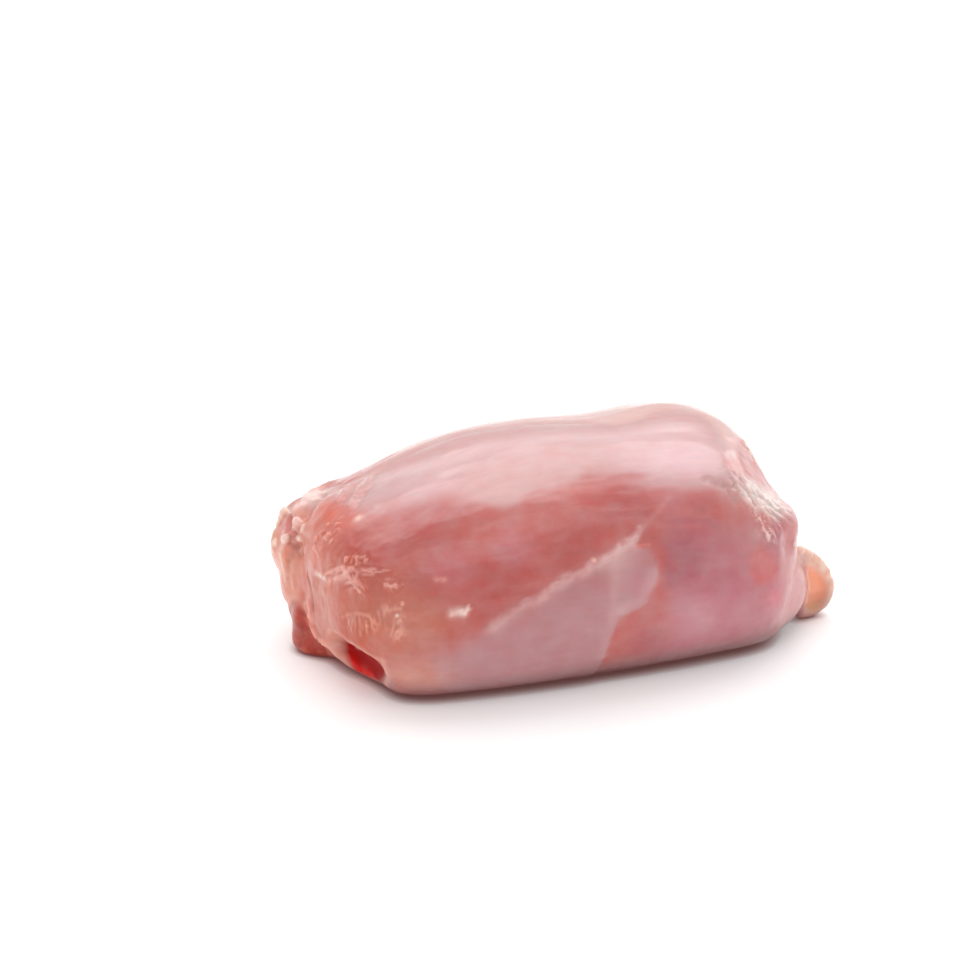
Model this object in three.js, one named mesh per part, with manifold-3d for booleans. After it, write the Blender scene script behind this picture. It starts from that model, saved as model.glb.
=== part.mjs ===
// A raw, skinless, boneless chicken thigh, tucked into a plump parcel and resting on a flat surface.
// Millimetres, +Z up. +X runs along the roll, -Y is the smooth outer side, and the underside is at z = 0.
import * as THREE from 'three';
import { mergeVertices } from 'three/addons/utils/BufferGeometryUtils.js';
import Module from 'manifold-3d';

const wasm = await Module();
wasm.setup();

// ---------------------------------------------------------------- driving dimensions

// The outer roll: the sheet of meat that is wrapped over everything else.
const ROLL = {
  halfLength: 46.5,
  halfWidth: 28.3,
  halfHeight: 23,
  centreHeight: 18.8,
  endBluntness: 3.6,
  sideBluntness: 2.55,
  facets: 16,
};

// The left end is lower than the rest, and its far side reaches further than its near side.
const LEFT_DROP = { share: 0.2, from: 4 };
const LEFT_SLANT = { from: -14, near: -22, far: 6, reach: 1.2 };

// Soft meat settles, so the roll widens towards the surface that it rests on.
const SAG = { widening: 0.13, height: 34 };

// Long muscle bundles under the membrane raise the surface a little, slanting along the roll.
const BUNDLE = { height: 0.2, pitch: 17, rise: 0.6, slant: 0.35 };

// Unevenness is the sum of waves that run in different directions.
const UNEVENNESS = { height: 0.25, size: 8 };
const WAVES = [
  { direction: [0.9, 0.4, -0.3], phase: 0 },
  { direction: [-0.5, 1.1, 0.7], phase: 2.1 },
  { direction: [0.6, -0.2, 1.3], phase: 4.4 },
];

// The surface swells away from a line along the middle of the roll that is this share of its length.
const MIDDLE_SHARE = 0.75;

// Swellings and hollows of the outer roll: where, how far they reach, and how far they lift the surface.
const SWELLINGS = [
  { name: 'neck above the shoulder', at: [42, -14, 33], reach: [8, 12, 7], lift: -4.4 },
  { name: 'shoulder', at: [44, -14, 22], reach: [7, 10, 7], lift: 1.6 },
  { name: 'right end hollow', at: [49, 6, 24], reach: [10, 12, 8], lift: -2.2 },
  { name: 'crown', at: [31, 12, 40], reach: [10, 12, 9], lift: 1.1 },
  { name: 'middle of the crest', at: [13, 14, 40], reach: [10, 12, 10], lift: -1.6 },
  { name: 'right cheek', at: [43, -19, 3], reach: [11, 10, 7], lift: 4 },
  { name: 'left heel', at: [-35, -20, 2], reach: [9, 9, 6], lift: 1.6 },
  { name: 'left brow', at: [-34, 9, 33], reach: [13, 16, 10], lift: -3.4 },
  { name: 'left cheek', at: [-38, -20, 18], reach: [9, 9, 8], lift: 1.6 },
];

// Lumps of meat that are joined to the roll. Each has its own unevenness, several waves across.
const LUMPS_ACROSS = 4;
const INNER_ROLL = {
  at: [-36, 15.5, 17],
  half: [13.6, 9.5, 12.2],
  bluntness: 2.5,
  roughness: 0.6,
  turn: 0,
  facets: 8,
};
const INNER_SLAB = {
  at: [-42.7, 6.8, 4.6],
  half: [6.3, 5.6, 6.2],
  bluntness: 3.6,
  roughness: 0.4,
  turn: -0.56,
  facets: 6,
};
const SHOULDER = {
  at: [39.4, -13, 22],
  half: [6.8, 7.6, 6.4],
  bluntness: 2.2,
  roughness: 0.6,
  turn: 0.3,
  facets: 6,
};

// Beads of fat and gristle, in a patch on the end of the inner roll.
const BEADS = { count: 9, y: -4, z: 5, spread: 7.5, least: 1.3, most: 2.3, sunk: 0.35, facets: 2 };

// Folds that show as grooves in the surface, each along a curve through a few points.
const FOLDS = [
  {
    name: 'between the outer sheet and the inner roll',
    radius: 1.5,
    along: [
      [-39.5, 14, 30.4],
      [-45, 10.5, 26],
      [-47.2, 8, 20],
      [-47, 6.8, 13.5],
      [-45.5, 3.5, 6],
    ],
  },
  {
    name: 'the edge of the sheet along the far side',
    radius: 1.4,
    along: [
      [-37, 27.2, 18.5],
      [-15, 30.2, 13],
      [12, 30.5, 14.5],
      [25, 29.8, 13],
      [38, 27, 11],
    ],
  },
  {
    name: 'where the long edges of the sheet meet underneath',
    radius: 1.9,
    along: [
      [-37, 4, -2],
      [-25, 1.5, 0],
      [-8, 3.5, 0],
      [10, 7.5, 0],
      [27, 8, 0],
      [41, 4, -2],
    ],
  },
];
const FOLD_SPACING = 3.2;
const FOLD_SIDES = 7;

// The hollow under the rim of the left end, where the bone was drawn out.
const POCKET = {
  at: [-46.5, -16, 2],
  half: [8, 10, 9.6],
  bluntness: 2.8,
  roughness: 0.4,
  turn: 0.2,
  facets: 6,
};

// The flap of fat at the right end: a thin dished ear that hangs from the roll to the surface below.
const TAG = {
  at: [49, -10.4, 7.6],
  half: [6.6, 2.8, 8.8],
  bluntness: 2.25,
  lean: 0.64,
  dish: 2.1,
  ripple: 0.5,
  rippleSize: 2.4,
  facets: 7,
};

// The block that the underside is cut flat with.
const BELOW = { size: 300, depth: 50 };

// ---------------------------------------------------------------- geometry helpers

// How close two corners are before they count as one.
const WELD = 1e-4;

// smooth rises from 0 at low to 1 at high; hill falls from 1 at nought to almost nothing at twice its reach.
const smooth = (low, high, x) => THREE.MathUtils.smoothstep(x, low, high);
const hill = (x, reach) => Math.exp(-((x / reach) ** 2));

// A closed three.js geometry as a solid for joining and cutting.
function solidOf(geometry) {
  const bare = geometry.clone();
  bare.deleteAttribute('normal');
  bare.deleteAttribute('uv');
  const merged = mergeVertices(bare, WELD);
  return new wasm.Manifold(
    new wasm.Mesh({
      numProp: 3,
      vertProperties: new Float32Array(merged.attributes.position.array),
      triVerts: new Uint32Array(merged.index.array),
    }),
  );
}

function geometryOf(solid) {
  const mesh = solid.getMesh();
  const geometry = new THREE.BufferGeometry();
  geometry.setAttribute('position', new THREE.BufferAttribute(Float32Array.from(mesh.vertProperties), 3));
  geometry.setIndex(new THREE.BufferAttribute(Uint32Array.from(mesh.triVerts), 1));
  geometry.computeVertexNormals();
  return geometry;
}

// Moves every vertex by a function that changes the point it is given.
function warp(geometry, change) {
  const place = geometry.attributes.position;
  const point = new THREE.Vector3();
  for (let i = 0; i < place.count; i++) {
    point.fromBufferAttribute(place, i);
    change(point);
    place.setXYZ(i, point.x, point.y, point.z);
  }
  return geometry;
}

// A blunt ellipsoid round the origin: an icosphere pushed out to a superellipsoid.
// ends sets how blunt it is along X, and sides how square its section is.
function bluntBall([a, b, c], ends, sides, facets) {
  return warp(new THREE.IcosahedronGeometry(1, facets), (p) => {
    const section = (Math.abs(p.y / b) ** sides + Math.abs(p.z / c) ** sides) ** (ends / sides);
    p.multiplyScalar((Math.abs(p.x / a) ** ends + section) ** (-1 / ends));
  });
}

// Slow, uneven lumps of about one unit either way, the same on each run.
function lumps(p, size, phase = 0) {
  const heights = WAVES.map((wave) => {
    const travel = p.dot(new THREE.Vector3(...wave.direction)) / size;
    return Math.sin(travel + wave.phase + phase);
  });
  return heights.reduce((sum, height) => sum + height) / WAVES.length;
}

// ---------------------------------------------------------------- the pieces of the form

// Lifts a point away from the middle of the roll where a swelling is near it.
function swell(p, middle) {
  const out = p.clone().sub(middle).normalize();
  for (const { at, reach, lift } of SWELLINGS) {
    const near = hill(p.x - at[0], reach[0]) * hill(p.y - at[1], reach[1]) * hill(p.z - at[2], reach[2]);
    p.addScaledVector(out, lift * near);
  }
}

function outerRoll() {
  const { halfLength, halfWidth, halfHeight, centreHeight, endBluntness, sideBluntness, facets } = ROLL;
  const shape = bluntBall([halfLength, halfWidth, halfHeight], endBluntness, sideBluntness, facets);
  return warp(shape, (p) => {
    const middle = new THREE.Vector3(p.x * MIDDLE_SHARE, 0, centreHeight);
    const drop = LEFT_DROP.share * (1 - smooth(-halfLength, LEFT_DROP.from, p.x));
    if (p.z > 0) p.z *= 1 - drop;
    p.z += centreHeight;
    p.y *= 1 + SAG.widening * (1 - smooth(0, SAG.height, p.z));
    const atLeft = 1 - smooth(-halfLength, LEFT_SLANT.from, p.x);
    p.x -= LEFT_SLANT.reach * atLeft * smooth(LEFT_SLANT.near, LEFT_SLANT.far, p.y);
    const across = p.z + p.y * BUNDLE.rise + p.x * BUNDLE.slant;
    const bundle = BUNDLE.height * Math.sin((across * 2 * Math.PI) / BUNDLE.pitch);
    const out = p.clone().sub(middle).normalize();
    p.addScaledVector(out, bundle + UNEVENNESS.height * lumps(p, UNEVENNESS.size));
    swell(p, middle);
  });
}

function lump({ at, half, bluntness, roughness, turn, facets }) {
  const shape = bluntBall(half, bluntness, bluntness, facets);
  warp(shape, (p) => {
    const height = roughness * lumps(p, half[1] / LUMPS_ACROSS, half[0]);
    p.addScaledVector(p.clone().normalize(), height);
  });
  return shape.rotateZ(turn).translate(...at);
}

// The beads lie in a spiral round the middle of their patch, each partly sunk in the inner roll's end.
function beads() {
  const { at, half, bluntness } = INNER_ROLL;
  const { count, y, z, spread, least, most, sunk, facets } = BEADS;
  const goldenAngle = Math.PI * (3 - Math.sqrt(5));
  return Array.from({ length: count }, (_, i) => {
    const radius = THREE.MathUtils.lerp(most, least, i / (count - 1));
    const away = spread * Math.sqrt(i / count);
    const side = y + away * Math.cos(i * goldenAngle);
    const rise = z + away * Math.sin(i * goldenAngle);
    const rest = 1 - Math.abs(side / half[1]) ** bluntness - Math.abs(rise / half[2]) ** bluntness;
    const front = half[0] * Math.max(rest, 0) ** (1 / bluntness) - sunk * radius;
    return bluntBall([radius, radius, radius], 2, 2, facets).translate(at[0] - front, at[1] + side, at[2] + rise);
  });
}

// The cutter of a fold: a round bar along its curve, closed at both ends.
function fold({ radius, along }) {
  const round = new THREE.Shape().absarc(0, 0, radius, 0, 2 * Math.PI);
  const extrudePath = new THREE.CatmullRomCurve3(along.map((point) => new THREE.Vector3(...point)));
  const steps = Math.round(extrudePath.getLength() / FOLD_SPACING);
  return new THREE.ExtrudeGeometry(round, { steps, curveSegments: FOLD_SIDES, extrudePath });
}

// A flattened ball, dished towards the near side, that leans out at its foot.
function tag() {
  const { at, half, bluntness, lean, dish, ripple, rippleSize, facets } = TAG;
  const shape = bluntBall(half, bluntness, bluntness, facets);
  warp(shape, (p) => {
    const fromMiddle = (p.x / half[0]) ** 2 + (p.z / half[2]) ** 2;
    p.y += dish * (1 - fromMiddle) + ripple * Math.sin(p.z / rippleSize);
  });
  return shape.rotateY(-lean).translate(...at);
}

function chickenThigh() {
  let meat = solidOf(outerRoll());
  meat = meat.add(solidOf(lump(INNER_ROLL)));
  meat = meat.add(solidOf(lump(SHOULDER)));
  for (const crease of FOLDS) meat = meat.subtract(solidOf(fold(crease)));
  meat = meat.subtract(solidOf(lump(POCKET)));
  meat = meat.add(solidOf(lump(INNER_SLAB)));
  for (const bead of beads()) meat = meat.add(solidOf(bead));
  meat = meat.add(solidOf(tag()));

  // The surface that it rests on flattens the underside.
  const below = new THREE.BoxGeometry(BELOW.size, BELOW.size, BELOW.depth).translate(0, 0, -BELOW.depth / 2);
  return meat.subtract(solidOf(below));
}

// ---------------------------------------------------------------- the model

const geometry = geometryOf(chickenThigh());
geometry.computeBoundingBox();
const centre = geometry.boundingBox.getCenter(new THREE.Vector3());

const flesh = new THREE.MeshStandardMaterial({ color: 0xc97a73, roughness: 0.35, metalness: 0 });
const thigh = new THREE.Mesh(geometry, flesh);
thigh.name = 'chicken_thigh';
// The origin is at the middle of the underside of its bounding box.
thigh.position.set(-centre.x, -centre.y, -geometry.boundingBox.min.z);

const model = new THREE.Group();
model.add(thigh);
export default model;
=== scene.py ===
import math

import bmesh
import bpy
import numpy as np
from mathutils import Matrix, Vector
from mathutils.bvhtree import BVHTree


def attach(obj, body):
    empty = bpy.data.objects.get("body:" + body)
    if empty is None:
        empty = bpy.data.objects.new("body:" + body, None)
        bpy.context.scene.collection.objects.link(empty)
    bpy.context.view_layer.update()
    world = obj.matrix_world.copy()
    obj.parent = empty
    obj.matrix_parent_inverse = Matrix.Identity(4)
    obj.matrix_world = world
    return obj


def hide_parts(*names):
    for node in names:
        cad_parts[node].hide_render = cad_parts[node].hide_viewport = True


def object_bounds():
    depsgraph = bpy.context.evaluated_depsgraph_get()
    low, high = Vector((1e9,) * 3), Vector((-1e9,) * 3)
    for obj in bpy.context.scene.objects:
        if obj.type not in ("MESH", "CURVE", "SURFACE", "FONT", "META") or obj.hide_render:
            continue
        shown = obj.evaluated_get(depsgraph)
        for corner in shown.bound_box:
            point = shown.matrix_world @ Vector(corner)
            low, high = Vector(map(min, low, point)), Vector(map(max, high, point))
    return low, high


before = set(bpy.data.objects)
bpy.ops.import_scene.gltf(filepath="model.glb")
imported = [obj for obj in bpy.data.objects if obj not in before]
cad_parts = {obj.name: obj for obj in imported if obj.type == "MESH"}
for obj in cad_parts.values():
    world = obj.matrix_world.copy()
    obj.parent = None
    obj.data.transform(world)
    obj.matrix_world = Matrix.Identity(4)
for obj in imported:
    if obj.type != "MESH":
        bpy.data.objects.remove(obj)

CAD_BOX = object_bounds()
NODE = "chicken_thigh"
MM = 0.001
TINY = 1e-9

# The camera of the photograph: where it stands, and the frame in pixels.
TURN, TILT = math.radians(-20), math.radians(25)
DISTANCE = 0.650
LENS, SENSOR = 124.3, 36.0
NEAREST = 0.01
FRAME_SIDE = 960
STAND = Vector((-0.00306, -0.00009, 0.0))
AIM_LEFT, AIM_UP = 0.01306, 0.0297
# A pixel just off the meat's outline is moved towards the middle of the meat, in this many steps at most.
MIDDLE, SEARCH = (547, 565), 60

# The light of the room, and the softboxes: the name, the place, what it faces, the width, the height and
# the radiance.
ROOM_LIGHT = 0.76
SOFTBOXES = (
    ("softbox_behind", (0.10, 0.46, 0.80), (0, 0, 0.02), 1.50, 0.85, 1.4),
    ("softbox_front", (-0.10, -0.50, 0.85), (0, 0, 0.02), 0.90, 0.60, 1.0),
    ("softbox_right", (0.85, 0.50, 0.28), (0.03, 0, 0.02), 0.35, 0.30, 1.8),
)

# The floor: half its side, its two whites, and the painted contact shadow close around the meat.
FLOOR_HALF = 2.2
FLOOR_GRAIN, FLOOR_ROUGHNESS, FLOOR_GLOW = 30.0, 0.55, 0.17
FLOOR_GREY, FLOOR_WHITE = (0.885, 0.885, 0.885, 1), (0.91, 0.91, 0.91, 1)
CONTACT_SHADE, UNSHADED_WHITE = (0.42, 0.19, 0.18, 1), (1, 1, 1, 1)
CONTACT_SHADE_REACH, CONTACT_SHADE_FROM, CONTACT_SHADE_TO = 0.0024, 0.15, 0.85

# The wet flesh: how light goes into it, its gloss, and its fibres and mottle.
GLOW_SHARE, GLOW_COLOURS, GLOW_DEPTH = 0.35, (1.0, 0.32, 0.22), 0.0018
COAT_ROUGHNESS, COAT_IOR = 0.14, 1.45
FIBRE_STRETCH, FIBRE_SCALE, FIBRE_DETAIL = (0.22, 1.0, 1.0), 800.0, 4.0
MOTTLE_SCALE, MOTTLE_DETAIL = 260.0, 3.0
BUMP_STRENGTH, BUMP_DEPTH = 0.12, 0.0002
NOISE_MIDDLE = (0.3, 0.7)
VALUE_RANGE, SATURATION_RANGE, ROUGHNESS_RANGE = (0.96, 1.04), (0.93, 1.08), (0.34, 0.46)

# The mesh grain in metres, and how often all of the mesh, its broad parts and its cut mesh are evened out.
VOXEL, WELD = 0.00064, 1e-6
EVEN_ALL, EVEN_BROAD, EVEN_CUT = 7, 60, 2
# The ends keep their form: where the evening of the broad parts fades out, in millimetres left and right of
# the middle. The left end's rim is evened out all the same.
KEPT_LEFT, KEPT_RIGHT = (38, 43), (42, 46)
RIM_SHARE, RIM_REACH = 0.9, 4.0
# Where the mesh is cut finer, in millimetres: the left end, the right end, and near the membrane's edge.
FINE_LEFT_X, FINE_LEFT_Y = -34, 18
FINE_RIGHT_X, FINE_RIGHT_Y, FINE_RIGHT_Z = 34, -4, 33
FINE_EDGE, FINE_FLOOR = 1.8, 1.2
# Only every so many points are needed for a hull, and a ray to an end cap starts this far out.
HULL_STEP, OUTSIDE = 3, 90

# The roll: the height of its axis and the radius that its skin is unrolled at, in millimetres.
AXIS_Z, UNROLL = 18.0, 24.0

# The noise: its seed, the numbers that scatter a cell's place, and how its octaves differ.
SEED = 11
SCATTER, SCATTER_SEED, SCATTER_START = (73856093, 19349663, 83492791), 1013904223, 12345
STIR, STIR_AGAIN = 1274126177, 668265263
WORD, LOW_BITS, HALF_LOW_BITS = 0xFFFFFFFF, 0xFFFFFF, 0x7FFFFF
OCTAVE_STEP, OCTAVE_SEED = 2.03, 17


# ---------------------------------------------------------------- camera, light and floor
def add_object(name, data):
    made = bpy.data.objects.new(name, data)
    bpy.context.scene.collection.objects.link(made)
    return made


def facing_way(place, target):
    """The matrix of a camera or lamp that stands at place and faces target."""
    return Matrix.Translation(place) @ (target - place).to_track_quat("-Z", "Y").to_matrix().to_4x4()


def camera_axes():
    back = Vector((math.sin(TURN) * math.cos(TILT), -math.cos(TURN) * math.cos(TILT), math.sin(TILT)))
    right = Vector((math.cos(TURN), math.sin(TURN), 0.0))
    return right, back.cross(right), back


def add_camera():
    right, up, back = camera_axes()
    eye = STAND + back * DISTANCE
    aim = STAND - right * AIM_LEFT + up * AIM_UP
    data = bpy.data.cameras.new("photo_camera")
    data.lens = LENS
    data.sensor_width = SENSOR
    data.clip_start = NEAREST
    camera = add_object("photo_camera", data)
    camera.matrix_world = facing_way(eye, aim)
    bpy.context.scene.camera = camera
    bpy.context.view_layer.update()
    return camera


def add_softbox(name, place, target, width, height, radiance):
    data = bpy.data.lights.new(name, "AREA")
    data.shape = "RECTANGLE"
    data.size, data.size_y = width, height
    data.energy = radiance * math.pi * width * height
    light = add_object(name, data)
    light.matrix_world = facing_way(Vector(place), Vector(target))


def add_light():
    scene = bpy.context.scene
    scene.view_settings.view_transform = "Standard"
    scene.view_settings.look = "None"
    world = bpy.data.worlds.new("pale_room")
    world.use_nodes = True
    set_inputs(world.node_tree.nodes["Background"], {"Color": (1.0, 1.0, 1.0, 1.0), "Strength": ROOM_LIGHT})
    scene.world = world
    for softbox in SOFTBOXES:
        add_softbox(*softbox)


def add_floor():
    mesh = bpy.data.meshes.new("floor")
    corners = [(x * FLOOR_HALF, y * FLOOR_HALF, 0) for x, y in ((-1, -1), (1, -1), (1, 1), (-1, 1))]
    mesh.from_pydata(corners, [], [(0, 1, 2, 3)])
    floor = add_object("floor", mesh)
    mesh.materials.append(white_table())


# ---------------------------------------------------------------- materials
def new_material(name):
    material = bpy.data.materials.new(name)
    material.use_nodes = True
    return material, material.node_tree, material.node_tree.nodes["Principled BSDF"]


def set_inputs(node, values):
    for socket, value in values.items():
        node.inputs[socket].default_value = value


def add_noise(tree, vector, values):
    grain = tree.nodes.new("ShaderNodeTexNoise")
    set_inputs(grain, values)
    tree.links.new(vector, grain.inputs["Vector"])
    return grain.outputs["Fac"]


def add_ramp(tree, source, stops):
    """A ramp over a value: stops are its two places, each with its colour."""
    ramp = tree.nodes.new("ShaderNodeValToRGB")
    for element, (place, colour) in zip(ramp.color_ramp.elements, stops):
        element.position = place
        element.color = colour
    tree.links.new(source, ramp.inputs["Fac"])
    return ramp.outputs["Color"]


def white_table():
    """A pale table, with a painted contact shadow that darkens its colour and its glow in the narrow gap
    under the meat.
    """
    material, tree, shader = new_material("white_table")
    set_inputs(shader, {"Roughness": FLOOR_ROUGHNESS, "Emission Strength": FLOOR_GLOW})
    place = tree.nodes.new("ShaderNodeTexCoord")
    grain = add_noise(tree, place.outputs["Object"], {"Scale": FLOOR_GRAIN})
    white = add_ramp(tree, grain, ((0, FLOOR_GREY), (1, FLOOR_WHITE)))
    # Painted shade: ambient occlusion darkens the floor's colour where the meat is close.
    gap = tree.nodes.new("ShaderNodeAmbientOcclusion")
    set_inputs(gap, {"Distance": CONTACT_SHADE_REACH})
    contact_shade = add_ramp(tree, gap.outputs["AO"], ((CONTACT_SHADE_FROM, CONTACT_SHADE), (CONTACT_SHADE_TO, UNSHADED_WHITE)))
    shaded_white = tree.nodes.new("ShaderNodeMix")
    shaded_white.data_type = "RGBA"
    shaded_white.blend_type = "MULTIPLY"
    set_inputs(shaded_white, {"Factor": 1.0})
    tree.links.new(white, shaded_white.inputs["A"])
    tree.links.new(contact_shade, shaded_white.inputs["B"])
    tree.links.new(shaded_white.outputs["Result"], shader.inputs["Base Color"])
    # The glow is darkened by the same painted contact shadow.
    tree.links.new(contact_shade, shader.inputs["Emission Color"])
    return material


def spread(tree, source, limits, socket):
    """Carries a noise's middle range, stretched to the limits, to a socket."""
    ramp = tree.nodes.new("ShaderNodeMapRange")
    ramp_from = {"From Min": NOISE_MIDDLE[0], "From Max": NOISE_MIDDLE[1]}
    set_inputs(ramp, {**ramp_from, "To Min": limits[0], "To Max": limits[1]})
    tree.links.new(source, ramp.inputs["Value"])
    tree.links.new(ramp.outputs["Result"], socket)


def read_field(tree, name):
    field = tree.nodes.new("ShaderNodeAttribute")
    field.attribute_name = name
    return field


def roughen(tree, shader, height):
    """Raises the flesh a little by a height, under its wet coat as well."""
    bump = tree.nodes.new("ShaderNodeBump")
    set_inputs(bump, {"Strength": BUMP_STRENGTH, "Distance": BUMP_DEPTH})
    tree.links.new(height, bump.inputs["Height"])
    tree.links.new(bump.outputs["Normal"], shader.inputs["Normal"])
    tree.links.new(bump.outputs["Normal"], shader.inputs["Coat Normal"])


def wet_meat():
    """Wet raw meat: its colour and wetness come from the mesh, and the fine fibres from noise."""
    material, tree, shader = new_material("wet_flesh")
    set_inputs(shader, {"Subsurface Weight": GLOW_SHARE, "Subsurface Radius": GLOW_COLOURS,
                        "Subsurface Scale": GLOW_DEPTH})
    set_inputs(shader, {"Coat Roughness": COAT_ROUGHNESS, "Coat IOR": COAT_IOR})
    place = tree.nodes.new("ShaderNodeTexCoord").outputs["Object"]
    stretch = tree.nodes.new("ShaderNodeMapping")
    set_inputs(stretch, {"Scale": FIBRE_STRETCH})
    tree.links.new(place, stretch.inputs["Vector"])
    fibre = add_noise(tree, stretch.outputs["Vector"], {"Scale": FIBRE_SCALE, "Detail": FIBRE_DETAIL})
    mottle = add_noise(tree, place, {"Scale": MOTTLE_SCALE, "Detail": MOTTLE_DETAIL})
    shade = tree.nodes.new("ShaderNodeHueSaturation")
    tree.links.new(read_field(tree, "tint").outputs["Color"], shade.inputs["Color"])
    spread(tree, fibre, VALUE_RANGE, shade.inputs["Value"])
    spread(tree, mottle, SATURATION_RANGE, shade.inputs["Saturation"])
    spread(tree, mottle, ROUGHNESS_RANGE, shader.inputs["Roughness"])
    tree.links.new(shade.outputs["Color"], shader.inputs["Base Color"])
    wet = read_field(tree, "wet").outputs["Fac"]
    tree.links.new(wet, shader.inputs["Coat Weight"])
    tree.links.new(wet, shader.inputs["Specular IOR Level"])
    roughen(tree, shader, fibre)
    return material


# ---------------------------------------------------------------- noise and small maths
def lattice(cell, seed):
    """A steady number from -1 to 1 for each whole-numbered cell."""
    x, y, z = (cell * SCATTER).T
    h = x ^ y ^ z ^ (seed * SCATTER_SEED + SCATTER_START)
    h = (h ^ (h >> 13)) * STIR & WORD
    h = (h ^ (h >> 16)) * STIR_AGAIN & WORD
    h = h ^ (h >> 15)
    return (h & LOW_BITS) / float(HALF_LOW_BITS) - 1.0


def noise(points, cell, seed):
    """Smooth noise from -1 to 1. cell is the size of its features, one number or one per axis."""
    q = points / np.asarray(cell, float)
    whole = np.floor(q).astype(np.int64)
    part = q - whole
    part = part * part * part * (part * (part * 6 - 15) + 10)
    total = np.zeros(len(points))
    for corner in range(8):
        step = np.array([(corner >> k) & 1 for k in range(3)])
        weight = np.prod(np.where(step, part, 1 - part), axis=1)
        total += weight * lattice(whole + step, SEED + seed)
    return total


def rough_noise(points, cell, seed, octaves=3):
    """Noise with finer and fainter noise on top of it."""
    total, size, share = 0.0, np.asarray(cell, float), 1.0
    for k in range(octaves):
        total = total + share * noise(points, size, seed + OCTAVE_SEED * k)
        size, share = size / OCTAVE_STEP, share * 0.5
    return total / (2 - 0.5 ** (octaves - 1))


def ease(value, low, high):
    """0 up to low, 1 from high on, and a soft rise between them."""
    t = np.clip((value - low) / (high - low), 0, 1)
    return t * t * (3 - 2 * t)


def bell(distance, width):
    """1 at no distance, falling to nothing beyond the width."""
    return np.exp(-((distance / width) ** 2))


def linear(colour):
    """The linear colour of an sRGB one given from 0 to 255."""
    c = np.asarray(colour, float) / 255
    return np.where(c <= 0.04045, c / 12.92, ((c + 0.055) / 1.055) ** 2.4)


def line_distance(points, line):
    """The distance of each point from a line of corners."""
    best = np.full(len(points), np.inf)
    for a, b in zip(line[:-1], line[1:]):
        d = b - a
        t = np.clip(((points - a) @ d) / max(d @ d, TINY), 0, 1)
        best = np.minimum(best, np.linalg.norm(points - a - t[:, None] * d, axis=1))
    return best


def patch_depth(points, corner):
    """How far each point lies inside a closed outline, and less than 0 outside it."""
    closed = np.vstack([corner, corner[:1]])
    across, up = points.T
    odd = np.zeros(len(points), bool)
    for a, b in zip(closed[:-1], closed[1:]):
        crosses = (a[1] > up) != (b[1] > up)
        rise = b[1] - a[1] if abs(b[1] - a[1]) > TINY else TINY
        odd ^= crosses & (across < (up - a[1]) / rise * (b[0] - a[0]) + a[0])
    best = line_distance(points, closed)
    return np.where(odd, best, -best)


# ---------------------------------------------------------------- the meat's own surface
def unroll(points):
    """The place along the roll and the place round it, both in millimetres."""
    angle = np.arctan2(points[:, 2] - AXIS_Z, -points[:, 1])
    return np.stack([points[:, 0], angle * UNROLL], 1)


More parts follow.
